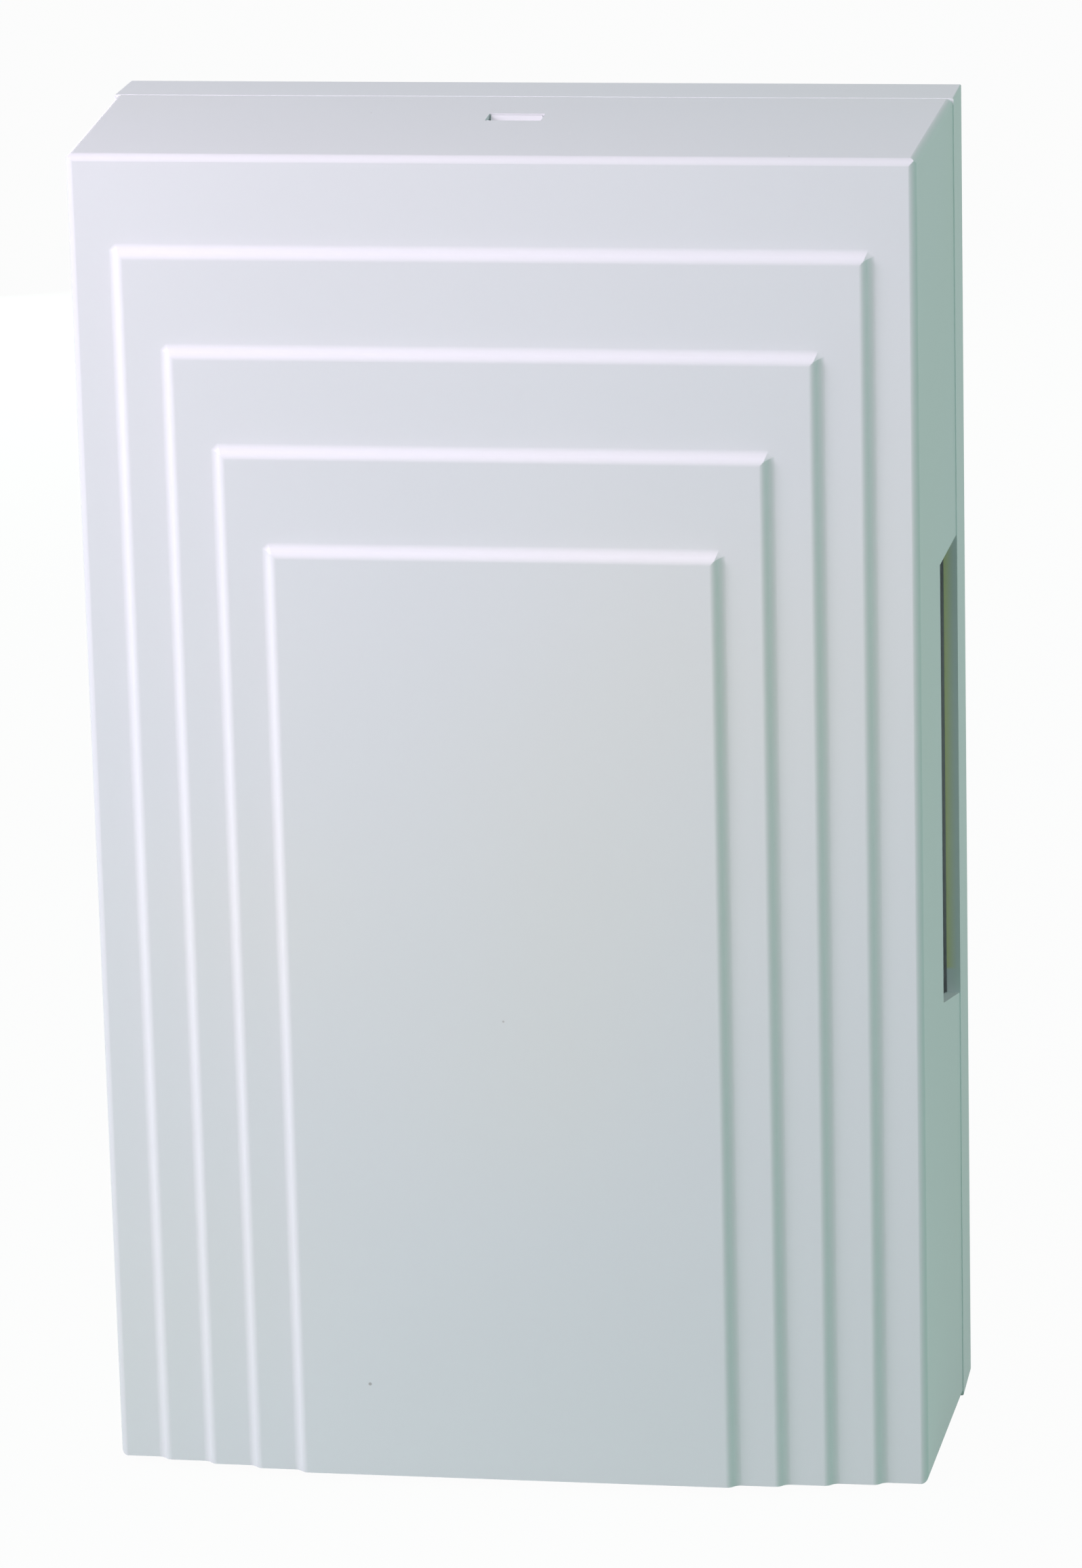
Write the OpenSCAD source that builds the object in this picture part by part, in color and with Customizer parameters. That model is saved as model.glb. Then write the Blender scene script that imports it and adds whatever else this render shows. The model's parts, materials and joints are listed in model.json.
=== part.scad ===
// Two-note door chime for a wall: two solenoid strikers between two tone bars, on a moulded base
// under a stepped cover. The origin is the middle of the back face on the wall, +Z is up and the
// front faces -Y. Depths are distances from the wall, towards the front.

/* [Case] */
// Width of the wall base
base_w = 122; // [110:1:140]
// Height of the wall base
base_h = 197; // [190:1:220]
// Depth of the base's rim, from the wall to the seam
base_d = 11; // [9:0.5:13]
// Depth from the wall to the cover's outermost flat margin
case_d = 50; // [46:0.5:60]
// Thickness of the moulded walls
wall = 2; // [1.6:0.1:2.4]
// How far the base stands proud of the cover at the sides
side_lip = 0.15; // [0:0.05:1]
// How far the base stands proud of the cover at the top and bottom
end_lip = 0.05; // [0:0.05:1]
// How far each side of the cover leans in between the seam and the front
draft = 1.2; // [0.4:0.05:1.6]
// Radius of the cover's front edges
edge_r = 1.2; // [0.4:0.1:1.6]
// Radius of the cover's corners, from the seam to the front
corner_r = 1; // [0.6:0.1:1.4]
// Bevel on the base's corners
corner_bevel = 0.15; // [0.1:0.05:0.8]

/* [Raised panels] */
// Number of nested raised panels on the front
panels = 4; // [1:1:5]
// Width of the flat margin at the sides of the outermost panel
margin_x = 5.75; // [4:0.05:8]
// Height of the flat margin above the outermost panel
margin_z = 12.65; // [8:0.05:16]
// Sideways distance from one panel's edge to the next
panel_step_x = 7; // [5:0.5:9]
// Downward distance from one panel's top edge to the next
panel_step_z = 14; // [8:0.5:18]
// Height of each panel above the one around it
panel_rise = 1.13; // [0.8:0.01:1.5]
// Steepest angle of the panels' curved edges
riser_slope = 54; // [40:1:60]

/* [Openings in the cover] */
// Height of the sound slots' upper end above the case's middle
slot_top = 34.5; // [25:0.5:45]
// Distance of the sound slots' lower end below the case's middle
slot_bottom = 31; // [22:0.5:40]
// How far the slots' lower end falls towards the seam
slot_fall = 4; // [0:0.5:6]
// Depth of the sound slots, from the seam towards the front
slot_d = 17.5; // [10:0.5:24]
// Width of the latch window in the top
window_w = 8; // [6:0.5:12]
// Opening of the latch window from front to back
window_d = 4.6; // [4:0.1:6]
// Distance from the seam to the middle of the latch window
window_at = 13.5; // [8:0.1:16]

/* [Base fittings] */
// Distance of the two wall screws from the base's top and bottom edges
wall_screw_inset = 14; // [12:0.5:20]
// Radius of the wall screw holes
wall_hole_r = 2.25; // [1.8:0.05:3]
// Radius of the wire entry
wire_r = 7.5; // [5:0.5:9]
// Drop from the rear door's coil axis to the wire entry
wire_drop = 30; // [28:0.5:34]
// Height of the bosses and of the wire entry's collar above the floor
boss_h = 2; // [1:0.5:3]
// Radial thickness of the bosses and of the wire entry's collar
boss_t = 2; // [1.5:0.1:3]
// How far the cover's locating tabs reach past the seam
tab_reach = 5; // [3:0.5:8]
// Length of each locating tab
tab_l = 12; // [8:0.5:16]
// Thickness of the locating tabs
tab_t = 1.6; // [1.2:0.1:2]
// Distance from the base's corners to the middles of the locating tabs
tab_inset = 26; // [18:0.5:32]
// Thickness of the latch tongue
latch_t = 1.8; // [1.4:0.1:2.2]
// How far the latch hook stands up into the window
hook_h = 2.2; // [1.5:0.1:2.3]
// Length of the latch hook's ramp, from its crest down to the tongue
hook_run = 2.2; // [1.2:0.1:2.6]
// Thickness of the stiffening ribs in the base and the cover
rib_t = 1.5; // [1:0.1:2]
// Height of the ribs between the bars' posts
rib_h = 4; // [2:0.5:6]

/* [Tone bars] */
// Length of the low tone bar, on the left
low_bar_l = 156; // [140:1:170]
// Length of the high tone bar, on the right
high_bar_l = 132; // [120:1:150]
// Width of the tone bars
bar_w = 25; // [20:0.5:30]
// Thickness of the tone bars
bar_t = 3; // [2:0.1:4]
// Distance from the base's side to the outer faces of the tone bars
bar_gap = 12.2; // [11:0.1:15]
// Radius of the grommet holes in the tone bars
bar_hole_r = 4; // [3.4:0.1:4.6]
// Thickness of the grommets' flanges
grommet_t = 1.4; // [1:0.1:2]
// Radius of the shoulder screws in the grommets
shoulder_r = 2; // [1.6:0.1:2.4]
// Thickness of the moulded posts that carry the bars
post_t = 7; // [5:0.5:9]
// Radius of the posts' round heads
post_r = 5.5; // [4.5:0.1:7]

/* [Solenoids] */
// Distance of the coil axes from the wall
axis_d = 24; // [22:0.5:28]
// Distance between the two coil axes
coil_pitch = 36; // [34:0.5:40]
// Distance from each tone bar to the bobbins' nearer flange
coil_room = 27.3; // [25:0.1:30]
// Radius of the bobbins' flanges
bobbin_r = 12; // [11:0.1:12.8]
// Thickness of the bobbins' flanges
flange_t = 1.5; // [1:0.1:2]
// Radius of the bore that guides the plunger
bore_r = 4.5; // [4:0.1:5]
// Wall thickness of the bobbins' tube
tube_t = 1.2; // [0.8:0.1:1.6]
// Radius of the winding
winding_r = 10.4; // [9:0.1:10.8]
// Distance from the bobbins' flanges to the tape round the winding
tape_inset = 3.5; // [1:0.1:6]
// Thickness of the tape round the winding
tape_t = 0.35; // [0.2:0.05:0.5]
// Thickness of the yokes' steel strip
yoke_t = 1.2; // [1:0.1:1.6]
// Width of the yokes' steel strip
yoke_h = 22; // [18:0.5:23]
// How much longer than the bobbins the plungers' steel cores are
core_extra = 5; // [2:0.5:8]
// How far the cores rest off the middle of their coils, towards the low bar
core_offset = 6; // [4:0.5:8]
// Radius of the strikers
striker_r = 2.2; // [1.8:0.1:2.6]
// Gap from the front plunger's low striker to the low bar at rest
low_gap = 3.2; // [2:0.1:4]
// Gap from the high strikers to the high bar at rest
high_gap = 4.2; // [3:0.1:5]
// Diameter of the springs' wire
spring_wire = 0.6; // [0.4:0.05:0.7]
// Turns of each return spring
spring_turns = 6; // [4:1:7]
// Thickness of the spring clips
clip_t = 1; // [0.8:0.1:1.4]
// Thickness of the felt stop of the rear plunger
felt_t = 2.5; // [1.5:0.1:3.5]
// Distance from the low bar to the post of the felt stop
stop_gap = 3; // [2:0.1:4]
// Thickness of the post of the felt stop
stop_t = 4; // [3:0.1:4.4]
// How far the rear plunger's idle striker stands out of its spring clip
idle_out = 2.25; // [1:0.05:4]

/* [Terminals] */
// Distance between neighbouring terminals
terminal_pitch = 17; // [15:0.5:18]
// Drop from the wire entry to the middle of the terminal block
block_drop = 19.5; // [18:0.5:22]
// Height of the terminal block
block_h = 12; // [10:0.5:14]
// Thickness of the terminal block
block_t = 8; // [6:0.5:10]
// Thickness of the terminal plates and of the clamp plates on them
plate_t = 0.8; // [0.6:0.1:1.2]
// Radius of the terminal screws
terminal_screw_r = 1.75; // [1.4:0.05:2]
// Diameter of the insulated coil leads
lead_d = 1.4; // [1:0.1:1.6]

/* [Clearances] */
// Gap between pieces that slide past each other
running_gap = 0.3; // [0.2:0.05:0.4]
// Gap round pieces that seat in or on each other
seat_gap = 0.05; // [0.03:0.01:0.1]
// Gap round screws in the pieces that they hold down
screw_gap = 0.2; // [0.1:0.05:0.3]

/* [Hidden] */
$fn = 64;
white = [0.86, 0.88, 0.87];
steel = [0.62, 0.63, 0.64];
zinc = [0.72, 0.72, 0.69];
copper = [0.62, 0.3, 0.16];
nylon = [0.88, 0.86, 0.78];
rubber = [0.08, 0.08, 0.08];
felt = [0.35, 0.36, 0.36];
phenolic = [0.17, 0.12, 0.09];
brass = [0.75, 0.6, 0.3];
amber = [0.85, 0.72, 0.35];
red = [0.7, 0.12, 0.1];
blue = [0.12, 0.25, 0.55];

cut = 0.5; // overrun of every cutting tool, and how far joined shapes sink into each other
cover_w = base_w - 2 * side_lip; // at the seam
cover_h = base_h - 2 * end_lip;
lean = draft / (case_d - base_d);
function half_w(d) = cover_w / 2 - lean * (d - base_d);
function half_h(d) = cover_h / 2 - lean * (d - base_d);

// The panels' edges: a rounded brow that runs into a hollow foot, both in narrow strips, drawn as
// (distance outwards, height above the panel around it)
riser_entry = 3; // angle at which both curves meet the flat panels
riser_strips = 7; // in each curve
brow_share = 0.46; // of the brow in the panels' rise
curve_r = panel_rise / (cos(riser_entry) - cos(riser_slope)); // brow and foot together
brow_r = brow_share * curve_r;
foot_r = curve_r - brow_r;
riser_w = curve_r * (sin(riser_slope) - sin(riser_entry));
function riser_angle(i) = riser_entry + (riser_slope - riser_entry) * i / riser_strips;
function riser_out(i) = sin(riser_angle(i)) - sin(riser_entry);
function riser_fall(i) = cos(riser_entry) - cos(riser_angle(i));
riser_points = concat(
    [for (i = [0 : riser_strips]) [riser_w - foot_r * riser_out(i), foot_r * riser_fall(i)]],
    [for (i = [riser_strips - 1 : -1 : 0]) [brow_r * riser_out(i), panel_rise - brow_r * riser_fall(i)]]);

// The flat parts of the panels, and their levels from 0 at the outer margin
function panel_half(k) = half_w(case_d) - margin_x - riser_w - (k - 1) * panel_step_x;
function panel_top(k) = half_h(case_d) - margin_z - riser_w - (k - 1) * panel_step_z;
function panel_corner(k) = (panel_half(k) + panel_top(k)) / sqrt(2) + corner_ease; // along the diagonal
function level(k) = case_d + k * panel_rise;
front_d = level(panels);
corner_ease = 0.25; // leaves the panels' upper corners sharp at the brow, and rounds them off at the foot
inner_setback = 0.4 * wall; // of the panels' inside from their flat parts
edge_shift = edge_r * (1 + lean - sqrt(1 + lean * lean)); // lays the rounded edges on the leaning sides
cutter_share = 1.01; // of a rounded edge's radius, keeps the rounding from ending in slivers

front_z = coil_pitch / 2;
rear_z = -coil_pitch / 2;
wire_z = rear_z - wire_drop;
block_z = wire_z - block_drop;
wall_screw_z = base_h / 2 - wall_screw_inset;
small_screw_r = 1.4; // of the yokes and of the terminal block
small_head_r = 2.8;
small_head_h = 1.8;
screw_slot_w = 0.8;
screw_short = 0.5; // left under the tips of the screws in their holes

node_share = 0.224; // still points of a free bar, as a share of its length from each end
function bar_l(side) = side < 0 ? low_bar_l : high_bar_l;
function bar_node(side) = bar_l(side) * (0.5 - node_share);
bar_in = base_w / 2 - bar_gap - bar_t;
bar_bevel = 1.2;
post_out = bar_in - grommet_t;
post_in = post_out - post_t;
gusset_l = 9;
gusset_drop = 4; // from the coil axes to the gussets' tops
grommet_rim = 1.6; // of the flanges past the hole in the bar
grommet_r = bar_hole_r + grommet_rim;
thread_r = 0.72 * shoulder_r;
shoulder_l = bar_t + 2 * grommet_t + seat_gap;
shoulder_rim = 2; // of the heads past the shoulders
shoulder_head_r = shoulder_r + shoulder_rim;
shoulder_head_h = 2;

tube_r = bore_r + tube_t;
bobbin_l = 2 * (bar_in - coil_room); // over the flanges
tape_l = bobbin_l - 2 * (flange_t + tape_inset);
yoke_in = bobbin_l / 2 + seat_gap;
yoke_x = yoke_in + yoke_t;
yoke_d = axis_d - bobbin_r - running_gap - yoke_t;
neck_out = 0.4; // of the bobbin's tube past the yoke
neck_x = yoke_x + neck_out;
ear_r = 4;
ear_x = 10;
ear_room = 0.7; // beside the bobbin, for a screwdriver
ear_z = bobbin_r + small_head_r + ear_room;
yoke_boss_r = 3.6;

core_r = bore_r - running_gap;
core_bevel = 0.6;
core_l = bobbin_l + core_extra;
core_low = -core_offset - core_l / 2;
core_high = core_low + core_l;
shank_r = 0.65 * striker_r;
shank_l = 5;
low_tip = -(bar_in - low_gap);
high_tip = bar_in - high_gap;
stop_out = -(bar_in - stop_gap);
stop_face = stop_out + stop_t + felt_t;
felt_rim = 0.5; // of the post round the felt
felt_r = post_r - felt_rim;
idle_tip = stop_face + running_gap;
spring_r = (bore_r + tube_r) / 2; // seats the spring on the end of the bobbin's tube
clip_x = idle_tip + idle_out + clip_t; // the clips' faces towards the coil
spring_l = -clip_x - neck_x; // at rest
clip_rim = 1; // of the clips past the middle of the springs' wire
clip_r = spring_r + clip_rim;

block_d = wall + block_t;
block_bevel = 1;
barrier_t = 1.6;
barrier_h = 3;
block_screw_x = 1.5 * terminal_pitch + barrier_t / 2 + small_head_r + running_gap;
block_w = 2 * (block_screw_x + small_head_r + block_bevel);
plate_w = 11;
plate_inset = 1; // from the block's upper and lower edges
lug_w = 6.5;
lug_l = 4; // past the block's upper edge
lug_top = block_z + block_h / 2 + lug_l;
clamp_w = 8;
clamp_bevel = 1;
terminal_head_r = 3.3;
terminal_head_h = 2.2;
terminal_slot_w = 1;
terminal_hole_floor = 1; // left behind the terminal screws' holes
terminal_x = [-terminal_pitch, 0, terminal_pitch];

window_mid = base_d + window_at;
tongue_z = half_h(window_mid) - wall - running_gap; // upper face of the latch tongue
tongue_w = window_w - 2 * running_gap;
tongue_end = window_mid + window_d / 2 - running_gap;
hook_back = window_mid - window_d / 2 + running_gap;
hook_crest = 0.3; // flat strip at the hook's top
hook_foot = hook_back + hook_crest + hook_run;
socket_drop = 2.5; // from the seam to the latch's socket
socket_d = base_d - socket_drop;
socket_t = 1.6;
tab_lead_in = 0.6;
tab_foot_drop = 1; // from the seam to the feet that join the tabs to the rim
guide_h = 3; // of the cover's ribs beside the latch tongue
guide_start = 3; // from the seam to those ribs
guide_d = base_d + guide_start;
guide_x = tongue_w / 2 + 2 * running_gap;

// A profile drawn as (x, depth), pulled up from height lo to height hi
module upright(lo, hi) translate([0, 0, lo]) linear_extrude(hi - lo) mirror([0, 1]) children();

// A profile drawn as (z, depth), pulled sideways between x0 and x1
module across(x0, x1) translate([max(x0, x1), 0, 0]) rotate([0, -90, 0])
    linear_extrude(abs(x1 - x0)) mirror([0, 1]) children();

// A profile drawn as (x, z), pulled forward from depth d0 to depth d1
module forward(d0, d1) translate([0, -d0, 0]) rotate([90, 0, 0]) linear_extrude(d1 - d0) children();

// Turns a round piece made along +Z to face the front, or a side at the coils' depth
module facing_front(x, d, z) translate([x, -d, z]) rotate([90, 0, 0]) children();
module facing_side(side, x, z) translate([side * x, -axis_d, z]) rotate([0, side * 90, 0]) children();

module rod(x0, x1, r, z) translate([x0, -axis_d, z]) rotate([0, 90, 0]) cylinder(h = x1 - x0, r = r);

// A profile drawn as (radius, x), turned round a coil's axis
module turned(z) translate([0, -axis_d, z]) rotate([0, 90, 0]) rotate_extrude() children();

module ring(r0, r1, x0, x1) translate([r0, min(x0, x1)]) square([r1 - r0, abs(x1 - x0)]);

module bevelled_rect(w, h, b) polygon([[w / 2 - b, h / 2], [w / 2, h / 2 - b],
    [w / 2, b - h / 2], [w / 2 - b, -h / 2], [b - w / 2, -h / 2], [-w / 2, b - h / 2],
    [-w / 2, h / 2 - b], [b - w / 2, h / 2]]);

module pan_screw(head_r, head_h, shank_r, shank_l, slot_w = screw_slot_w) {
    point = 0.6 * shank_r;
    difference() {
        rotate_extrude() polygon([[0, -shank_l], [shank_r - point, -shank_l], [shank_r, point - shank_l],
            [shank_r, 0], [head_r, 0], [head_r, head_h * 0.55], [head_r * 0.72, head_h], [0, head_h]]);
        translate([-head_r - cut, -slot_w / 2, head_h / 2]) cube([2 * (head_r + cut), slot_w, head_h]);
    }
}

// Tubes along a route of points, with a ring of corners at each point
function unit(v) = v / norm(v);
function tangents(p) = [for (i = [0 : len(p) - 1])
    i == 0 ? unit(p[1] - p[0]) : i == len(p) - 1 ? unit(p[i] - p[i - 1])
        : unit(unit(p[i + 1] - p[i]) + unit(p[i] - p[i - 1]))];
function carried(t, n, i = 0) = i == len(t) ? []
    : let (m = unit(n - (n * t[i]) * t[i])) concat([m], carried(t, m, i + 1));
function between(p, i, f) =
    let (a = p[max(i - 1, 0)], b = p[i], c = p[i + 1], d = p[min(i + 2, len(p) - 1)])
    b + f * (c - a) / 2 + f * f * (2 * a - 5 * b + 4 * c - d) / 2 + f * f * f * (3 * b - a - 3 * c + d) / 2;
function smooth(p, n) =
    concat([for (i = [0 : len(p) - 2], k = [0 : n - 1]) between(p, i, k / n)], [p[len(p) - 1]]);

module tube(path, r, sides, first_side) {
    t = tangents(path);
    n = carried(t, first_side);
    last = (len(path) - 1) * sides;
    points = [for (i = [0 : len(path) - 1], j = [0 : sides - 1])
        path[i] + r * (cos(360 * j / sides) * n[i] + sin(360 * j / sides) * cross(t[i], n[i]))];
    skin = [for (i = [0 : len(path) - 2], j = [0 : sides - 1])
        let (a = i * sides + j, b = i * sides + (j + 1) % sides)
        each [[a, b + sides, b], [a, a + sides, b + sides]]];
    ends = [for (j = [1 : sides - 2]) each [[0, j, j + 1], [last, last + j + 1, last + j]]];
    polyhedron(points, concat(skin, ends));
}

// Takes the corner at the origin, with its material at -x and -y, down to a radius
module rounding(r) translate([-r, -r]) difference() {
    square(2 * r);
    circle(cutter_share * r);
}

// The panels' edges from the outermost one inwards, drawn as (distance outwards, depth)
function stepped(reaches) = [for (k = [1 : panels], p = riser_points)
    [reaches[k - 1] + p[0], level(k - 1) + p[1]]];

// The front cover: drafted sides, and panels whose edges meet in eased corners
module cover_width_profile() {
    right = concat([[half_w(base_d), base_d], [half_w(case_d), case_d]],
        stepped([for (k = [1 : panels]) panel_half(k)]));
    difference() {
        polygon(concat(right, [for (i = [len(right) - 1 : -1 : 0]) [-right[i][0], right[i][1]]]));
        for (side = [0, 1]) mirror([side, 0])
            translate([half_w(case_d) + edge_shift, case_d]) rounding(edge_r);
    }
}

module cover_height_profile() difference() {
    polygon(concat([[half_h(base_d), base_d], [half_h(case_d), case_d]],
        stepped([for (k = [1 : panels]) panel_top(k)]),
        [[-half_h(front_d), front_d], [-half_h(base_d), base_d]]));
    translate([half_h(case_d) + edge_shift, case_d]) rounding(edge_r);
}

module cover_corner_profile() polygon(concat([[-cover_h, base_d], [cover_h, base_d], [cover_h, case_d]],
    stepped([for (k = [1 : panels]) panel_corner(k)]), [[-cover_h, front_d]]));

module cover_body() difference() {
    intersection() {
        upright(-cover_h, cover_h) cover_width_profile();
        across(-cover_w, cover_w) cover_height_profile();
        rotate([0, 45, 0]) across(-cover_h, cover_h) cover_corner_profile();
        rotate([0, -45, 0]) across(-cover_h, cover_h) cover_corner_profile();
    }
    for (left = [0, 1], low = [0, 1]) mirror([left, 0, 0]) mirror([0, 0, low])
        translate([half_w(base_d), -base_d, half_h(base_d)]) rotate([atan(lean), 0, -atan(lean)])
            forward(-cut, front_d - base_d + cut) rounding(corner_r);
}

module cover_hollow() {
    back = base_d - cut;
    front = case_d - wall;
    intersection() {
        upright(-cover_h, cover_h) {
            polygon([[wall - half_w(back), back], [half_w(back) - wall, back],
                [half_w(front) - wall, front], [wall - half_w(front), front]]);
            for (k = [1 : panels]) translate([inner_setback - panel_half(k), front - cut])
                square([2 * (panel_half(k) - inner_setback), k * panel_rise + cut]);
        }
        across(-cover_w, cover_w) {
            polygon([[wall - half_h(back), back], [half_h(back) - wall, back],
                [half_h(front) - wall, front], [wall - half_h(front), front]]);
            for (k = [1 : panels]) translate([wall - half_h(case_d), front - cut])
                square([panel_top(k) - inner_setback + half_h(case_d) - wall, k * panel_rise + cut]);
        }
    }
}

module latch_guides() for (side = [-1, 1]) across(side * guide_x, side * (guide_x + rib_t))
    translate([half_h(guide_d) - wall - guide_h, guide_d])
        square([guide_h + cut, case_d - wall + cut - guide_d]);

module front_cover() color(white) difference() {
    union() {
        difference() {
            cover_body();
            cover_hollow();
        }
        latch_guides();
    }
    across(-cover_w, cover_w) polygon([[slot_top, base_d - cut], [slot_top, base_d + slot_d],
        [-slot_bottom, base_d + slot_d], [-slot_bottom - slot_fall, base_d],
        [-slot_bottom - slot_fall, base_d - cut]]);
    forward(window_mid - window_d / 2, window_mid + window_d / 2)
        translate([-window_w / 2, cover_h / 2 - 2 * wall]) square([window_w, 3 * wall]);
}

// The base: a shallow tray with everything that is moulded on its floor
module tray() difference() {
    forward(0, base_d) bevelled_rect(base_w, base_h, corner_bevel);
    forward(wall, base_d + cut) square([base_w - 2 * wall, base_h - 2 * wall], center = true);
}

module post(x0, x1, z) across(x0, x1) {
    translate([z - post_r, wall - cut]) square([2 * post_r, axis_d - wall + cut]);
    translate([z, axis_d]) circle(post_r);
}

module bar_posts() for (side = [-1, 1]) {
    for (z = [-bar_node(side), bar_node(side)]) {
        post(side * post_out, side * post_in, z);
        upright(z - wall / 2, z + wall / 2)
            polygon([[side * (post_in + cut), wall - cut], [side * (post_in - gusset_l), wall - cut],
                [side * post_in, axis_d - gusset_drop], [side * (post_in + cut), axis_d - gusset_drop]]);
    }
    forward(wall - cut, wall + rib_h) translate([side * (post_in + post_t / 2), 0])
        square([rib_t, 2 * bar_node(side)], center = true);
}

module at_yoke_ears(d) for (z = [front_z, rear_z], end = [-1, 1])
    facing_front(-end * ear_x, d, z + end * ear_z) children();

// A tab inside the cover's wall, with a foot to the rim, drawn as (distance outwards, depth)
module tab_profile(cover_half, base_half) {
    face = cover_half - wall - running_gap;
    top = base_d + tab_reach;
    foot = base_d - tab_foot_drop;
    polygon([[face - tab_t, wall - cut], [base_half - wall + cut, wall - cut], [base_half - wall + cut, foot],
        [face, foot], [face, top - 2 * tab_lead_in], [face - tab_lead_in, top], [face - tab_t, top]]);
}

module cover_tabs() {
    top = base_d + tab_reach;
    x = base_w / 2 - tab_inset;
    z = base_h / 2 - tab_inset;
    for (left = [0, 1], low = [0, 1]) mirror([left, 0, 0]) mirror([0, 0, low]) {
        upright(z - tab_l / 2, z + tab_l / 2) tab_profile(half_w(top), base_w / 2);
        across(x - tab_l / 2, x + tab_l / 2) tab_profile(half_h(top), base_h / 2);
    }
}

module latch_socket() forward(wall - cut, socket_d) translate([0, tongue_z - latch_t / 2]) difference() {
    square([tongue_w + 2 * (socket_t + seat_gap), latch_t + 2 * (socket_t + seat_gap)], center = true);
    square([tongue_w + 2 * seat_gap, latch_t + 2 * seat_gap], center = true);
}

module wall_holes(extra) {
    for (end = [-1, 1]) translate([0, end * wall_screw_z]) circle(wall_hole_r + extra);
    translate([0, wire_z]) circle(wire_r + extra);
}

module base() color(white) difference() {
    union() {
        tray();
        bar_posts();
        at_yoke_ears(wall - cut) cylinder(h = yoke_d - wall + cut, r = yoke_boss_r);
        cover_tabs();
        latch_socket();
        post(stop_out, stop_out + stop_t, rear_z);
        forward(wall - cut, wall + boss_h) wall_holes(boss_t);
    }
    forward(-cut, wall + boss_h + cut) wall_holes(0);
    for (side = [-1, 1], end = [-1, 1]) facing_side(side, post_in - cut, end * bar_node(side))
        cylinder(h = post_t + 2 * cut, r = thread_r + seat_gap);
    at_yoke_ears(wall) cylinder(h = yoke_d, r = small_screw_r + seat_gap);
    for (side = [-1, 1]) facing_front(side * block_screw_x, wall / 2, block_z)
        cylinder(h = wall, r = small_screw_r + seat_gap);
}

// The latch: a springy tongue in its socket, with a ramped hook up into the cover's window
module cover_latch() color(white) across(-tongue_w / 2, tongue_w / 2) {
    translate([tongue_z - latch_t, wall]) square([latch_t, tongue_end - wall]);
    polygon([[tongue_z - cut, hook_back], [tongue_z + hook_h, hook_back],
        [tongue_z + hook_h, hook_foot - hook_run], [tongue_z, hook_foot], [tongue_z - cut, hook_foot]]);
}

// The tone bars on their rubber grommets
module tone_bar(side) color(steel) difference() {
    across(side * bar_in, side * (bar_in + bar_t))
        translate([0, axis_d]) bevelled_rect(bar_l(side), bar_w, bar_bevel);
    for (end = [-1, 1]) facing_side(side, bar_in - cut, end * bar_node(side))
        cylinder(h = bar_t + 2 * cut, r = bar_hole_r);
}

module grommet(side, end) color(rubber) facing_side(side, bar_in + bar_t / 2, end * bar_node(side)) {
    hole = shoulder_r + seat_gap;
    groove = bar_hole_r - seat_gap;
    inner = bar_t / 2 + seat_gap;
    outer = bar_t / 2 + grommet_t;
    rotate_extrude() polygon([[hole, -outer], [grommet_r, -outer], [grommet_r, -inner], [groove, -inner],
        [groove, inner], [grommet_r, inner], [grommet_r, outer], [hole, outer]]);
}

module bar_screws() color(zinc) for (side = [-1, 1], end = [-1, 1])
    facing_side(side, post_out + shoulder_l, end * bar_node(side)) {
        pan_screw(shoulder_head_r, shoulder_head_h, shoulder_r, shoulder_l);
        translate([0, 0, screw_short - shoulder_l - post_t]) cylinder(h = post_t, r = thread_r);
    }

// The solenoids, each round its own axis
module yoke(z) color(zinc) difference() {
    union() {
        forward(yoke_d, yoke_d + yoke_t) {
            translate([0, z]) square([2 * yoke_x, yoke_h], center = true);
            for (end = [-1, 1]) {
                translate([-end * ear_x, z + end * ear_z]) circle(ear_r);
                translate([-end * ear_x, z + end * ear_z / 2]) square([2 * ear_r, ear_z], center = true);
            }
        }
        for (side = [-1, 1]) across(side * yoke_x, side * yoke_in) {
            translate([z - yoke_h / 2, yoke_d]) square([yoke_h, axis_d - yoke_d]);
            translate([z, axis_d]) circle(yoke_h / 2);
        }
    }
    rod(-yoke_x - cut, yoke_x + cut, tube_r + seat_gap, z);
    at_yoke_ears(yoke_d - cut) cylinder(h = yoke_t + 2 * cut, r = small_screw_r + screw_gap);
}

module bobbin(z) color(nylon) turned(z) {
    end = bobbin_l / 2;
    inner = end - flange_t;
    polygon([[bore_r, -neck_x], [tube_r, -neck_x], [tube_r, -end], [bobbin_r, -end], [bobbin_r, -inner],
        [tube_r, -inner], [tube_r, inner], [bobbin_r, inner], [bobbin_r, end], [tube_r, end],
        [tube_r, neck_x], [bore_r, neck_x]]);
}

module winding(z) color(copper) turned(z) {
    end = bobbin_l / 2 - flange_t - seat_gap;
    ring(tube_r + seat_gap, winding_r, -end, end);
}

module coil_tape(z) color(amber) turned(z)
    ring(winding_r + seat_gap, winding_r + seat_gap + tape_t, -tape_l / 2, tape_l / 2);

module plunger(z) color(steel) turned(z) difference() {
    polygon([[0, core_low], [core_r - core_bevel, core_low], [core_r, core_low + core_bevel],
        [core_r, core_high - core_bevel], [core_r - core_bevel, core_high], [0, core_high]]);
    ring(-cut, shank_r + seat_gap, core_low - cut, core_low + shank_l + seat_gap);
    ring(-cut, shank_r + seat_gap, core_high - shank_l - seat_gap, core_high + cut);
}

// A nylon pin from a core's end to its round tip
module striker(from, tip, z) color(nylon) {
    way = sign(tip - from);
    turned(z) {
        ring(0, shank_r, from - way * shank_l, from + way * cut);
        ring(0, striker_r, from, tip - way * striker_r);
        intersection() {
            translate([0, tip - way * striker_r]) circle(striker_r);
            ring(0, striker_r, tip - way * (striker_r + cut), tip);
        }
    }
}

module spring_clip(z) color(zinc) turned(z) ring(striker_r + seat_gap, clip_r, clip_x - clip_t, clip_x);

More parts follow.
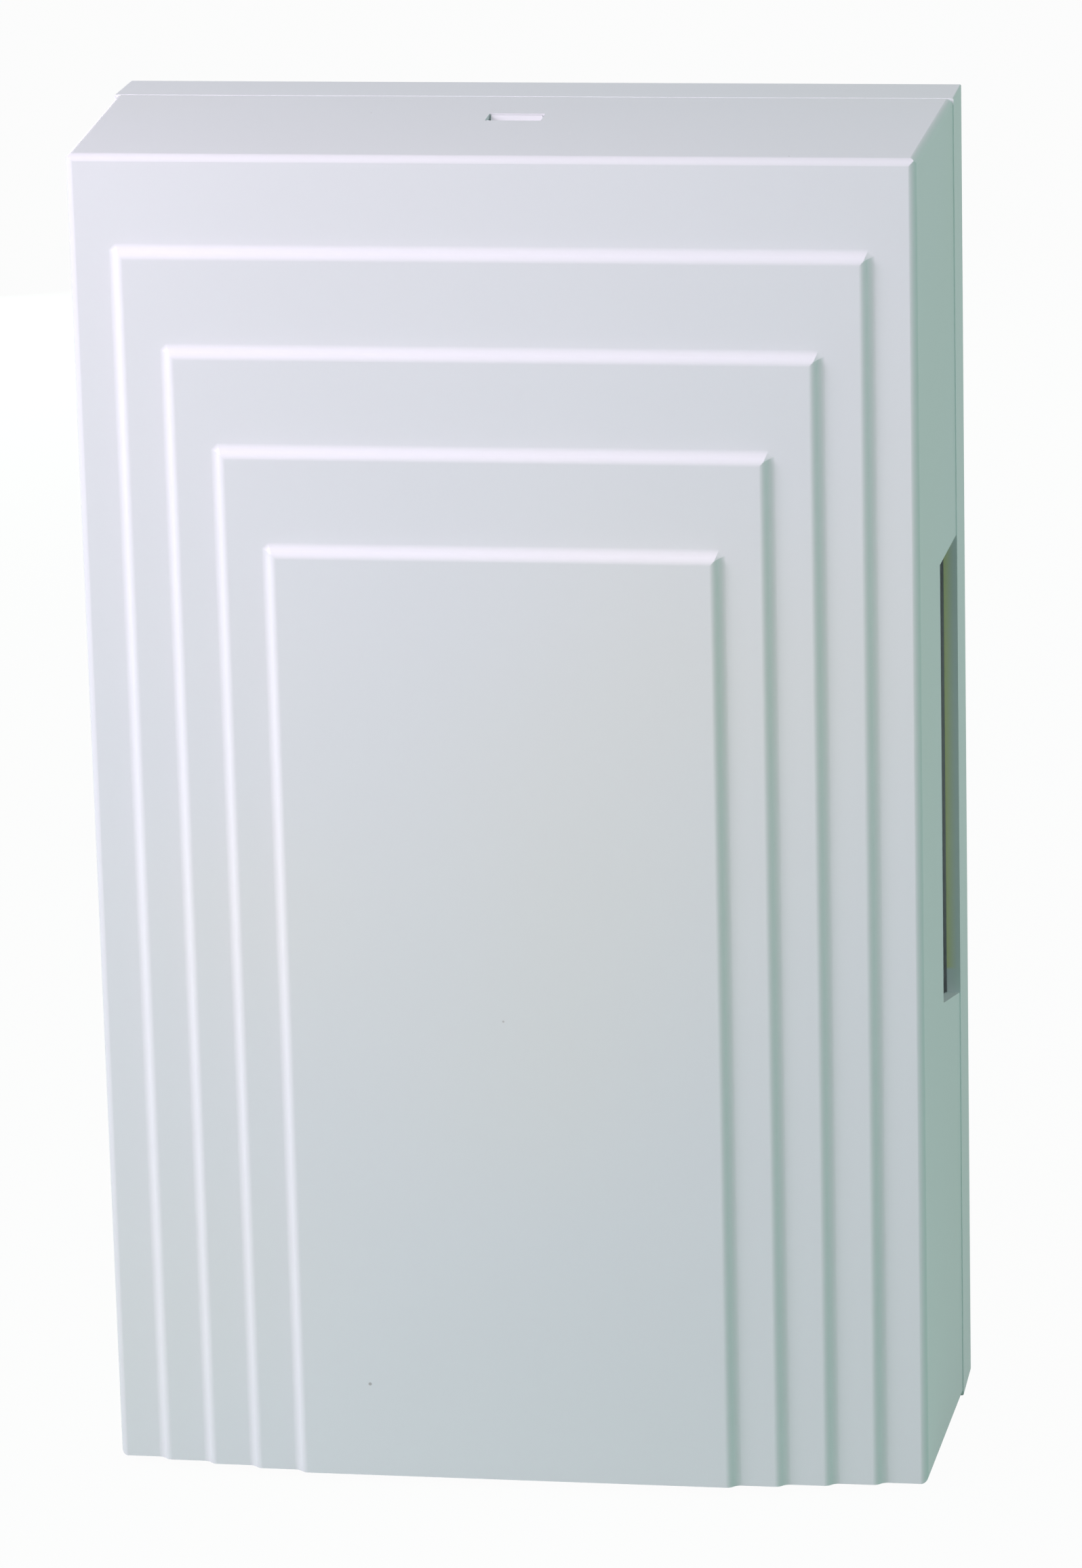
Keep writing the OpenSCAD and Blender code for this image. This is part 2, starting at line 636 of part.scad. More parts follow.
// The return springs: a helix with a short straight end against the bobbin and against the clip
turn_rings = 8;
spring_rings = turn_rings * spring_turns;
spring_sides = 6;
spring_run = spring_l - 2 * spring_wire;
spring_end = [spring_wire, 0, 0];
function on_spring(i, z) = let (a = 360 * i / turn_rings)
    [-neck_x - spring_wire - spring_run * i / spring_rings,
        -axis_d + spring_r * cos(a), z + spring_r * sin(a)];
function spring_path(z) = concat([on_spring(0, z) + spring_end],
    [for (i = [0 : spring_rings]) on_spring(i, z)], [on_spring(spring_rings, z) - spring_end]);
next_turn = turn_rings - 2; // rings along the wire before a neighbouring turn counts as another one
spring_gap = min([for (i = [0 : spring_rings - next_turn], j = [i + next_turn : spring_rings])
    norm(on_spring(i, 0) - on_spring(j, 0))]) - spring_wire;
echo(least_gap_between_spring_turns = spring_gap);

module return_spring(z) color(zinc) tube(spring_path(z), spring_wire / 2, spring_sides, [0, 1, 0]);

module felt_stop() color(felt) across(stop_face - felt_t, stop_face)
    translate([rear_z, axis_d]) circle(felt_r);

module yoke_screws() color(zinc) at_yoke_ears(yoke_d + yoke_t)
    pan_screw(small_head_r, small_head_h, small_screw_r, yoke_d + yoke_t - wall - screw_short);

// The terminals below the wire entry
module terminal_block() color(phenolic) difference() {
    union() {
        forward(wall, block_d) translate([0, block_z]) bevelled_rect(block_w, block_h, block_bevel);
        for (i = [-1.5 : 1 : 1.5]) forward(block_d - cut, block_d + barrier_h)
            translate([i * terminal_pitch, block_z]) square([barrier_t, block_h], center = true);
    }
    for (x = terminal_x) facing_front(x, wall + terminal_hole_floor, block_z)
        cylinder(h = block_t, r = terminal_screw_r + seat_gap);
    for (side = [-1, 1]) facing_front(side * block_screw_x, wall - cut, block_z)
        cylinder(h = block_t + 2 * cut, r = small_screw_r + screw_gap);
}

module block_screws() color(zinc) for (side = [-1, 1]) facing_front(side * block_screw_x, block_d, block_z)
    pan_screw(small_head_r, small_head_h, small_screw_r, block_t + wall / 2 - seat_gap);

module terminal_plate(x) color(brass) forward(block_d, block_d + plate_t) translate([x, block_z])
    difference() {
        union() {
            square([plate_w, block_h - 2 * plate_inset], center = true);
            translate([-lug_w / 2, 0]) square([lug_w, lug_top - block_z]);
        }
        circle(terminal_screw_r + screw_gap);
    }

module clamp_plates() color(brass) for (x = terminal_x)
    forward(block_d + plate_t, block_d + 2 * plate_t) translate([x, block_z]) difference() {
        bevelled_rect(clamp_w, clamp_w, clamp_bevel);
        circle(terminal_screw_r + screw_gap);
    }

module terminal_screws() color(zinc) for (x = terminal_x) facing_front(x, block_d + 2 * plate_t, block_z)
    pan_screw(terminal_head_r, terminal_head_h, terminal_screw_r,
        block_t + 2 * plate_t - terminal_hole_floor - screw_short, terminal_slot_w);

// The coil leads: from under a winding to the back of a terminal's lug, by way of points chosen by
// hand as [x, depth, z]
lead_r = lead_d / 2;
lead_sides = 8;
lead_steps = 2; // rings for each stretch between two points
lead_from_gap = 0.1; // from a winding to its lead
lead_beside = 1.5; // from a flange to the middle of its lead
lead_from_x = bobbin_l / 2 - flange_t - lead_beside;
lead_down = 6; // straight stretch towards the wall, beside the winding
lead_straight = [4.5, 2.2, 0]; // distances behind a lug, along the lead's straight end
lead_inset = 2; // from a lug's upper edge to its lead
common_lead_x = 1.6; // of the two common leads from the middle of their lug
function lead_start(side, z) = [for (down = [0, lead_down])
    [side * lead_from_x, axis_d - down, z - winding_r - lead_r - lead_from_gap]];
function lead_end(x) = [for (behind = lead_straight) [x, block_d - behind, lug_top - lead_inset]];
function at_depth(p) = [for (q = p) [q[0], -q[1], q[2]]];
front_route = [[-16.5, 13, 4.5], [-19, 8.5, 2.5], [-23.5, 6, -2], [-25, 5.5, -10], [-25, 5.5, -25],
    [-25, 5.5, -40], [-23.5, 5.5, -51], [-19, 5, -58]];
front_return = [[16.5, 13, 4.5], [19, 8.5, 2.5], [23.5, 6, -2], [25, 5.5, -10], [25, 5.5, -25],
    [25, 5, -40], [23.5, 3.2, -50], [18, 2.9, -55.5], [10, 2.9, -58], [4, 3.2, -59.2]];
rear_route = [[16, 12.5, -32], [17, 8, -36], [18.5, 6.5, -43], [18.5, 6.5, -51], [17.5, 6, -57]];
rear_return = [[-16, 12.5, -32], [-17, 8, -36], [-17, 5.5, -43], [-15, 4.5, -52], [-10, 4, -57.5],
    [-4.5, 4, -59.2]];

module lead(side, z, route, end_x, tint) color(tint)
    tube(smooth(at_depth(concat(lead_start(side, z), route, lead_end(end_x))), lead_steps),
        lead_r, lead_sides, [1, 0, 0]);

front_cover();
base();
cover_latch();
tone_bar(-1);  // low_tone_bar
tone_bar(1);  // high_tone_bar
grommet(-1, 1);  // low_upper_grommet
grommet(-1, -1);  // low_lower_grommet
grommet(1, 1);  // high_upper_grommet
grommet(1, -1);  // high_lower_grommet
bar_screws();
yoke(front_z);  // front_yoke
bobbin(front_z);  // front_bobbin
winding(front_z);  // front_winding
coil_tape(front_z);  // front_tape
plunger(front_z);  // front_plunger
striker(core_low, low_tip, front_z);  // front_low_striker
striker(core_high, high_tip, front_z);  // front_high_striker
return_spring(front_z);  // front_spring
spring_clip(front_z);  // front_spring_clip
yoke(rear_z);  // rear_yoke
bobbin(rear_z);  // rear_bobbin
winding(rear_z);  // rear_winding
coil_tape(rear_z);  // rear_tape
plunger(rear_z);  // rear_plunger
striker(core_low, idle_tip, rear_z);  // rear_idle_striker
striker(core_high, high_tip, rear_z);  // rear_high_striker
return_spring(rear_z);  // rear_spring
spring_clip(rear_z);  // rear_spring_clip
felt_stop();
yoke_screws();
terminal_block();
block_screws();
terminal_plate(terminal_x[0]);  // front_terminal
terminal_plate(terminal_x[1]);  // common_terminal
terminal_plate(terminal_x[2]);  // rear_terminal
clamp_plates();
terminal_screws();
lead(-1, front_z, front_route, terminal_x[0], red);  // front_lead
lead(1, front_z, front_return, common_lead_x, white);  // front_common_lead
lead(1, rear_z, rear_route, terminal_x[2], blue);  // rear_lead
lead(-1, rear_z, rear_return, -common_lead_x, white);  // rear_common_lead
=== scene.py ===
import json
import math

import bmesh
import bpy
from mathutils import Matrix, Vector, noise


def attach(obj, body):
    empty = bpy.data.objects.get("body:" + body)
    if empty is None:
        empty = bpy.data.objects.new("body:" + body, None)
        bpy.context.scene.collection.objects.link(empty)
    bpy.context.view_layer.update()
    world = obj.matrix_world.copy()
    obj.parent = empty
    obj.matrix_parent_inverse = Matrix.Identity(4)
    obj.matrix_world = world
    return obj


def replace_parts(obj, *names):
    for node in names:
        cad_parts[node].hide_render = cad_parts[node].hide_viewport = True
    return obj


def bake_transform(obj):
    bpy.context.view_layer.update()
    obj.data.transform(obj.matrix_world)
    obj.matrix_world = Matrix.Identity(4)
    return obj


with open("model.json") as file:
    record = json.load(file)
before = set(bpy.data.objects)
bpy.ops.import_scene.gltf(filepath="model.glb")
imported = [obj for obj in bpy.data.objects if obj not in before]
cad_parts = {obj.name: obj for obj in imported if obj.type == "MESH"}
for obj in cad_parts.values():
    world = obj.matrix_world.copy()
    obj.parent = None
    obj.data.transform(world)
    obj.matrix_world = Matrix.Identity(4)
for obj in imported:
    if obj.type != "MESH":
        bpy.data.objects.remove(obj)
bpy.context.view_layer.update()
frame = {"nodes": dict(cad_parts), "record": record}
scene = bpy.context.scene
mm = 0.001
fullTurn = 2 * math.pi
quarterX = Matrix.Rotation(math.pi / 2, 4, "X")
quarterY = Matrix.Rotation(math.pi / 2, 4, "Y")

# Camera, at the photograph's angle
cameraLook = {
    "place": (0.1591, -0.9786, 0.2779),
    "forward": (-0.1568, 0.9481, -0.2765),
    "up": (-0.0202, 0.2768, 0.9607),
    "lens": 158.62,  # mm
    "sensor": 36,  # mm high
    "clip": (0.01, 40),
}


def placeCamera(look):
    back = -Vector(look["forward"]).normalized()
    right = Vector(look["up"]).cross(back).normalized()
    turn = Matrix((right, back.cross(right), back)).transposed().to_4x4()
    data = bpy.data.cameras.new("camera")
    data.sensor_fit = "VERTICAL"
    data.sensor_height = look["sensor"]
    data.lens = look["lens"]
    data.clip_start, data.clip_end = look["clip"]
    camera = bpy.data.objects.new("camera", data)
    camera.matrix_world = Matrix.Translation(look["place"]) @ turn
    scene.collection.objects.link(camera)
    scene.camera = camera


placeCamera(cameraLook)


class Wire:
    # one socket of a material; sums on it add Math nodes
    def __init__(self, tree, socket=None):
        self.tree, self.socket = tree, socket

    def add(self, kind, settings=None, sockets=None, out=0):
        node = self.tree.nodes.new(kind)
        for name, value in (settings or {}).items():
            setattr(node, name, value)
        for name, value in (sockets or {}).items():
            if isinstance(value, Wire):
                self.tree.links.new(value.socket, node.inputs[name])
            else:
                node.inputs[name].default_value = value
        return Wire(self.tree, node.outputs[out])

    def sum(self, operation, first, second):
        return self.add("ShaderNodeMath", {"operation": operation}, {0: first, 1: second})

    def __add__(self, other): return self.sum("ADD", self, other)
    def __radd__(self, other): return self.sum("ADD", other, self)
    def __sub__(self, other): return self.sum("SUBTRACT", self, other)
    def __rsub__(self, other): return self.sum("SUBTRACT", other, self)
    def __mul__(self, other): return self.sum("MULTIPLY", self, other)
    def __rmul__(self, other): return self.sum("MULTIPLY", other, self)
    def __gt__(self, other): return self.sum("GREATER_THAN", self, other)

    # common textures on this wire's vector, with scales in cycles per metre
    def noise(self, scale, detail=2.0, rough=0.5, stretch=None, twist=0.0):
        at = self
        if stretch is not None:
            at = self.add("ShaderNodeMapping", None, {"Vector": self, "Scale": stretch})
        return self.add("ShaderNodeTexNoise", None, {"Vector": at, "Scale": scale, "Detail": detail,
                                                     "Roughness": rough, "Distortion": twist})

    def cells(self, scale, out):
        return self.add("ShaderNodeTexVoronoi", None, {"Vector": self, "Scale": scale}, out)

    def span(self, low, high, start=0.0, end=1.0):
        return self.add("ShaderNodeMapRange", {"interpolation_type": "SMOOTHSTEP"},
                        {"Value": self, "From Min": low, "From Max": high, "To Min": start, "To Max": end})

    def part(self, axis):
        return self.add("ShaderNodeSeparateXYZ", None, {0: self}, axis)

    # this wire as the share of the second colour
    def tint(self, first, second):
        ends = [c if isinstance(c, Wire) else (*c, 1) for c in (first, second)]
        return self.add("ShaderNodeMix", {"data_type": "RGBA"}, {0: self, 6: ends[0], 7: ends[1]}, 2)

    def bump(self, height, strength):
        return self.add("ShaderNodeBump", None, {"Height": self, "Distance": height, "Strength": strength})


def startFinish(name, constants):
    material = bpy.data.materials.new(name)
    material.use_nodes = True
    shader = material.node_tree.nodes["Principled BSDF"]
    for socket, value in constants.items():
        shader.inputs[socket].default_value = value
    return material, shader, Wire(material.node_tree).add("ShaderNodeTexCoord", out="Object")


def feed(shader, wires):
    for socket, wire in wires.items():
        wire.tree.links.new(wire.socket, shader.inputs[socket])


def scaled(shade, factor):
    return tuple(min(1, c * factor) for c in shade)


# Painted shade on the rim behind the sound slots: an olive tint where the rim lies in shade, full inside and
# clear at the outer edge
slotPaintedShade = {
    "edge": 57.5 * mm,
    "thick": 58.8 * mm,
    "clear": 60.7 * mm,
    "low": -31 * mm,
    "high": 34 * mm,
    "depth": 9.5 * mm,  # from the wall
    "soft": 0.5 * mm,
    "blotches": 300,
    "tone": (1.04, 0.98, 0.52),  # times the plastic's own shade
}


# share of the painted olive shade at each point: on the rim behind the slots, in blotches
def paintedShadeShare(place, paintedShade):
    soft = paintedShade["soft"]
    out = place.sum("ABSOLUTE", place.part(0), 0)
    up = place.part(2)
    depth = 0 - place.part(1)
    across = out.span(paintedShade["edge"] - soft, paintedShade["edge"]) * out.span(paintedShade["clear"], paintedShade["thick"])
    along = up.span(paintedShade["low"] - soft, paintedShade["low"]) * up.span(paintedShade["high"] + soft, paintedShade["high"])
    front = depth.span(paintedShade["depth"] - soft, paintedShade["depth"] + soft)
    return across * along * front * place.noise(paintedShade["blotches"], 3).span(0.1, 0.4, start=0.75)


# Satin white moulded plastic: spark-eroded grain, faint clouding, a few dark specks, yellowed patches
plasticLook = {
    "shade": (0.78, 0.83, 0.84),
    "clouding": 0.025,
    "yellowing": (1.01, 0.985, 0.9),  # times the shade
    "speckTone": (0.22, 0.2, 0.17),
    "speckShare": 0.55,
    "speckRarity": 0.972,
    "grainScale": 2400,
    "cloudScale": 14,
    "yellowScale": 7,
    "speckScale": 190,
    "rough": 0.46,
}


def mouldedPlastic(name, look, aged, paintedShade=None):
    material, shader, place = startFinish(name, {"IOR": 1.5, "Specular IOR Level": 0.2})
    shade = look["shade"]
    grain = place.noise(look["grainScale"], rough=0.6)
    cloud = place.noise(look["cloudScale"], 3)
    yellowed = place.noise(look["yellowScale"]).span(0.5, 0.75) * aged
    rare = place.cells(look["speckScale"], "Color").part(0) > look["speckRarity"]
    speck = place.cells(look["speckScale"], "Distance").span(0.06, 0.03) * rare
    clouded = cloud.tint(scaled(shade, 1 - look["clouding"]), scaled(shade, 1 + look["clouding"]))
    colour = yellowed.tint(clouded, tuple(s * y for s, y in zip(shade, look["yellowing"])))
    colour = (speck * look["speckShare"]).tint(colour, look["speckTone"])
    # painted shade: the base is tinted olive where its rim lies in shade behind the sound slots
    if paintedShade:
        colour = paintedShadeShare(place, paintedShade).tint(colour, tuple(s * t for s, t in zip(shade, paintedShade["tone"])))
    feed(shader, {"Base Color": colour, "Roughness": look["rough"] + cloud * 0.08 + grain * 0.06,
                  "Normal": grain.bump(0.02 * mm, 0.35)})
    return material


# Rolled steel with brushing along one axis and a few long scratches
steelLook = {
    "brushScale": 30,
    "brushStretch": (1.0, 60.0),  # along and across
    "scratchScale": 16,
    "scratchStretch": (0.4, 90.0),
    "cloudScale": 45,
    "dark": 0.84,  # times the shade
    "light": 1.12,
}


def brushedSteel(name, look, shade, axis, rough):
    material, shader, place = startFinish(name, {"Metallic": 1.0})
    brushed, scratched = (tuple(stretch[0] if i == axis else stretch[1] for i in range(3))
                          for stretch in (look["brushStretch"], look["scratchStretch"]))
    lines = place.noise(look["brushScale"], 4, 0.65, brushed)
    scratch = place.noise(look["scratchScale"], stretch=scratched).span(0.68, 0.74)
    cloud = place.noise(look["cloudScale"], 3)
    colour = (lines * 0.5 + cloud * 0.5).tint(scaled(shade, look["dark"]), scaled(shade, look["light"]))
    feed(shader, {"Base Color": colour, "Roughness": rough + lines * 0.16 + cloud * 0.08 - scratch * 0.08,
                  "Normal": (lines * 0.7 + scratch * 0.5).bump(0.012 * mm, 0.6)})
    return material


# Zinc plating: fine crystals, with a faint blue and straw passivation
zincLook = {
    "blue": (0.6, 0.63, 0.66),
    "straw": (0.68, 0.65, 0.56),
    "dull": (0.5, 0.5, 0.49),
    "filmScale": 70,
    "crystalScale": 2600,
    "rough": 0.27,
}


def zincPlate(name, look):
    material, shader, place = startFinish(name, {"Metallic": 1.0})
    film = place.noise(look["filmScale"], 3)
    crystal = place.noise(look["crystalScale"])
    colour = film.span(0.35, 0.65).tint(look["blue"], look["straw"])
    colour = (crystal * 0.35).tint(colour, look["dull"])
    feed(shader, {"Base Color": colour, "Roughness": look["rough"] + film * 0.14 + crystal * 0.1,
                  "Normal": crystal.bump(0.01 * mm, 0.5)})
    return material


# Enamelled copper: darker and lighter turns under a clear varnish
copperLook = {
    "dark": (0.42, 0.13, 0.05),
    "light": (0.68, 0.27, 0.11),
    "burnt": (0.3, 0.09, 0.04),
    "turnScale": 3,
    "turnStretch": (600.0, 8.0, 8.0),
    "patchScale": 120,
    "rough": 0.24,
    "varnish": 0.35,
}


def enamelCopper(name, look):
    material, shader, place = startFinish(name, {"Metallic": 1.0, "Coat Roughness": 0.15})
    turns = place.noise(look["turnScale"], stretch=look["turnStretch"])
    patch = place.noise(look["patchScale"], 3)
    colour = turns.span(0.3, 0.7).tint(look["dark"], look["light"])
    feed(shader, {"Base Color": (patch * 0.3).tint(colour, look["burnt"]),
                  "Roughness": look["rough"] + patch * 0.16, "Coat Weight": look["varnish"] + patch * 0.4,
                  "Normal": patch.bump(0.01 * mm, 0.4)})
    return material


# Polyester tape: glossy, faintly ribbed by the turns under it
tapeLook = {
    "deep": (0.62, 0.36, 0.06),
    "pale": (0.86, 0.62, 0.17),
    "ribScale": 4,
    "ribStretch": (500.0, 6.0, 6.0),
    "cloudScale": 90,
    "rough": 0.2,
    "gloss": 0.5,
}


def coilTape(name, look):
    material, shader, place = startFinish(name, {"IOR": 1.58, "Coat Roughness": 0.08})
    ribs = place.noise(look["ribScale"], stretch=look["ribStretch"])
    cloud = place.noise(look["cloudScale"], 3)
    colour = (cloud * 0.6 + ribs * 0.4).tint(look["deep"], look["pale"])
    feed(shader, {"Base Color": colour, "Roughness": look["rough"] + cloud * 0.14,
                  "Coat Weight": look["gloss"] + cloud * 0.3, "Normal": ribs.bump(0.03 * mm, 0.7)})
    return material


# Natural nylon: milky, with flow lines along the plunger
nylonLook = {
    "deep": (0.74, 0.69, 0.55),
    "pale": (0.83, 0.8, 0.7),
    "flowScale": 20,
    "flowStretch": (1.0, 7.0, 7.0),
    "grainScale": 1800,
    "rough": 0.36,
}


def naturalNylon(name, look):
    material, shader, place = startFinish(name, {"IOR": 1.53, "Subsurface Weight": 0.2,
                                                 "Subsurface Scale": 1 * mm})
    flow = place.noise(look["flowScale"], 3, stretch=look["flowStretch"])
    grain = place.noise(look["grainScale"])
    colour = flow.span(0.3, 0.7).tint(look["deep"], look["pale"])
    feed(shader, {"Base Color": colour, "Roughness": look["rough"] + flow * 0.14 + grain * 0.05,
                  "Normal": grain.bump(0.015 * mm, 0.4)})
    return material


# Black rubber with a dusty bloom
rubberLook = {
    "black": (0.018, 0.018, 0.019),
    "bloom": (0.06, 0.058, 0.055),
    "bloomScale": 260,
    "grainScale": 3000,
    "rough": 0.6,
}


def blackRubber(name, look):
    material, shader, place = startFinish(name, {"Specular IOR Level": 0.35})
    bloom = place.noise(look["bloomScale"], 4)
    grain = place.noise(look["grainScale"])
    feed(shader, {"Base Color": bloom.span(0.45, 0.75).tint(look["black"], look["bloom"]),
                  "Roughness": look["rough"] + bloom * 0.25, "Normal": grain.bump(0.03 * mm, 0.6)})
    return material


# Grey wool felt: matted fibres of several greys
woolLook = {
    "dark": (0.1, 0.1, 0.105),
    "light": (0.3, 0.3, 0.29),
    "mattedScale": 900,
    "fibreScale": 1500,
    "fibreTwist": 2.5,
    "rough": 0.85,
}


def woolFelt(name, look):
    material, shader, place = startFinish(name, {"Specular IOR Level": 0.15, "Sheen Weight": 0.4,
                                                 "Sheen Roughness": 0.5})
    matted = place.noise(look["mattedScale"], 4, 0.7)
    fibres = place.noise(look["fibreScale"], 3, twist=look["fibreTwist"])
    wool = matted * 0.6 + fibres * 0.4
    feed(shader, {"Base Color": wool.span(0.35, 0.65).tint(look["dark"], look["light"]),
                  "Roughness": look["rough"] + matted * 0.12, "Normal": wool.bump(0.25 * mm, 0.9)})
    return material


# Dark phenolic with flecks of its filler
phenolicLook = {
    "dark": (0.03, 0.017, 0.011),
    "brown": (0.075, 0.042, 0.026),
    "filler": (0.16, 0.1, 0.06),
    "cloudScale": 150,
    "fleckScale": 1200,
    "rough": 0.3,
}


def darkPhenolic(name, look):
    material, shader, place = startFinish(name, {"IOR": 1.6})
    cloud = place.noise(look["cloudScale"], 3)
    fleck = place.noise(look["fleckScale"], rough=0.6).span(0.6, 0.72)
    colour = (fleck * 0.5).tint(cloud.tint(look["dark"], look["brown"]), look["filler"])
    feed(shader, {"Base Color": colour, "Roughness": look["rough"] + cloud * 0.15 + fleck * 0.1,
                  "Normal": fleck.bump(0.008 * mm, 0.5)})
    return material


# Plain brass, tarnished in patches
brassLook = {
    "deep": (0.66, 0.46, 0.17),
    "pale": (0.78, 0.57, 0.25),
    "tarnish": (0.33, 0.2, 0.08),
    "tarnishScale": 160,
    "lineScale": 40,
    "lineStretch": (1.0, 30.0, 40.0),
    "rough": 0.24,
}


def plainBrass(name, look):
    material, shader, place = startFinish(name, {"Metallic": 1.0})
    tarnish = place.noise(look["tarnishScale"], 4, 0.6).span(0.45, 0.72)
    lines = place.noise(look["lineScale"], 3, 0.6, look["lineStretch"])
    colour = (tarnish * 0.6).tint(lines.tint(look["deep"], look["pale"]), look["tarnish"])
    feed(shader, {"Base Color": colour, "Roughness": look["rough"] + tarnish * 0.2 + lines * 0.08,
                  "Normal": lines.bump(0.01 * mm, 0.4)})
    return material


# Soft coloured insulation, a little scuffed
insulationLook = {
    "dark": 0.85,  # times the shade
    "light": 1.1,
    "worn": 0.8,
    "wornGrey": 0.05,
    "cloudScale": 180,
    "scuffScale": 900,
    "rough": 0.3,
}


def leadInsulation(name, look, shade):
    material, shader, place = startFinish(name, {"IOR": 1.5})
    cloud = place.noise(look["cloudScale"], 3)
    scuff = place.noise(look["scuffScale"], 3, 0.6).span(0.6, 0.75)
    worn = [c * look["worn"] + look["wornGrey"] for c in shade]
    clean = cloud.tint(scaled(shade, look["dark"]), scaled(shade, look["light"]))
    feed(shader, {"Base Color": (scuff * 0.35).tint(clean, worn),
                  "Roughness": look["rough"] + cloud * 0.1 + scuff * 0.2,
                  "Normal": scuff.bump(0.01 * mm, 0.4)})
    return material


# Tinned solder, cooled in soft ripples
solderLook = {"dark": (0.42, 0.42, 0.43), "light": (0.66, 0.66, 0.65), "rippleScale": 700, "rough": 0.22}


def softSolder(name, look):
    material, shader, place = startFinish(name, {"Metallic": 1.0})
    ripple = place.noise(look["rippleScale"])
    feed(shader, {"Base Color": ripple.tint(look["dark"], look["light"]),
                  "Roughness": look["rough"] + ripple * 0.18, "Normal": ripple.bump(0.06 * mm, 0.5)})
    return material


# One finish for each of the record's slots
finishes = {
    "cover_plastic": mouldedPlastic("coverPlastic", plasticLook, aged=0.5),
    # the base's rim behind the sound slots carries painted olive shade
    "base_plastic": mouldedPlastic("basePlastic", plasticLook, aged=0.3, paintedShade=slotPaintedShade),
    "bar_steel": brushedSteel("barSteel", steelLook, (0.56, 0.57, 0.58), axis=2, rough=0.2),
    "zinc_steel": zincPlate("zincPlate", zincLook),
    "core_steel": brushedSteel("coreSteel", steelLook, (0.47, 0.47, 0.48), axis=0, rough=0.22),
    "spring_steel": brushedSteel("springWire", steelLook, (0.5, 0.5, 0.5), axis=1, rough=0.22),
    "copper_wire": enamelCopper("enamelCopper", copperLook),
    "coil_tape": coilTape("coilTape", tapeLook),
    "nylon": naturalNylon("naturalNylon", nylonLook),
    "grommet_rubber": blackRubber("blackRubber", rubberLook),
    "felt": woolFelt("woolFelt", woolLook),
    "phenolic": darkPhenolic("darkPhenolic", phenolicLook),
    "terminal_brass": plainBrass("plainBrass", brassLook),
    "red_lead": leadInsulation("redLead", insulationLook, (0.45, 0.03, 0.025)),
    "white_lead": leadInsulation("whiteLead", insulationLook, (0.72, 0.72, 0.68)),
    "blue_lead": leadInsulation("blueLead", insulationLook, (0.03, 0.08, 0.32)),
}
for subpart in frame["record"]["subparts"]:
    mesh = frame["nodes"][subpart["node"]].data
    mesh.materials.clear()
    mesh.materials.append(finishes[subpart["material_slot"]])
print("finishes:", len(finishes))


# Turns a bmesh into a piece of the scene, with its place in its mesh
def asPiece(bm, name, slot, finish=None):
    bmesh.ops.recalc_face_normals(bm, faces=bm.faces)
    mesh = bpy.data.meshes.new(name)
    bm.to_mesh(mesh)
    bm.free()
    mesh.materials.append(finish or finishes[slot])
    for face in mesh.polygons:
        face.use_smooth = True
    piece = bpy.data.objects.new(name, mesh)
    scene.collection.objects.link(piece)
    return piece


def closeEnds(bm):
    bmesh.ops.holes_fill(bm, edges=[e for e in bm.edges if e.is_boundary], sides=0)


# Return springs: closed end turns, then open ones, wound round the plungers' axes
springForm = {
    "wire": 0.6 * mm,
    "radius": 5.1 * mm,
    "bobbinEnd": -20.15 * mm,
    "clipEnd": -32.75 * mm,
    "closedTurns": 1.0,
    "closedPitch": 1.03,  # wires from turn to turn
    "openTurns": 4.5,
    "sides": 12,
    "stepsPerTurn": 36,
}
coilDepth = -24 * mm  # y of both coils' axes
coilHeights = {"front": 18 * mm, "rear": -18 * mm}


def windSpring(name, height, form):
    bm = bmesh.new()
    half = form["wire"] / 2
    run = form["bobbinEnd"] - form["clipEnd"] - form["wire"]
    closed = form["closedTurns"] * form["wire"] * form["closedPitch"]
    start = Matrix.Translation((form["bobbinEnd"] - half, coilDepth, height + form["radius"]))
    bmesh.ops.create_circle(bm, segments=form["sides"], radius=half, matrix=start @ quarterX)
    live = list(bm.verts) + list(bm.edges)
    endTurns = (form["closedTurns"], closed)
    for turns, length in (endTurns, (form["openTurns"], run - 2 * closed), endTurns):
        steps = round(turns * form["stepsPerTurn"])
        live = bmesh.ops.spin(bm, geom=live, cent=(0, coilDepth, height), axis=(1, 0, 0),
                              dvec=(-length / steps, 0, 0), angle=turns * fullTurn, steps=steps)["geom_last"]
    closeEnds(bm)
    return asPiece(bm, name, "spring_steel")


for door, height in coilHeights.items():
    spring = windSpring(door + "_spring_coil", height, springForm)
    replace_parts(spring, door + "_spring")
    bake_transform(spring)
print("springs wound")

# Windings: one layer of wire shown on a solid core of lower layers
windingForm = {
    "wire": 0.5 * mm,
    "outer": 10.4 * mm,
    "inner": 5.75 * mm,
    "half": 16.95 * mm,
    "sides": 6,
    "stepsPerTurn": 36,
    "coreSteps": 64,
}


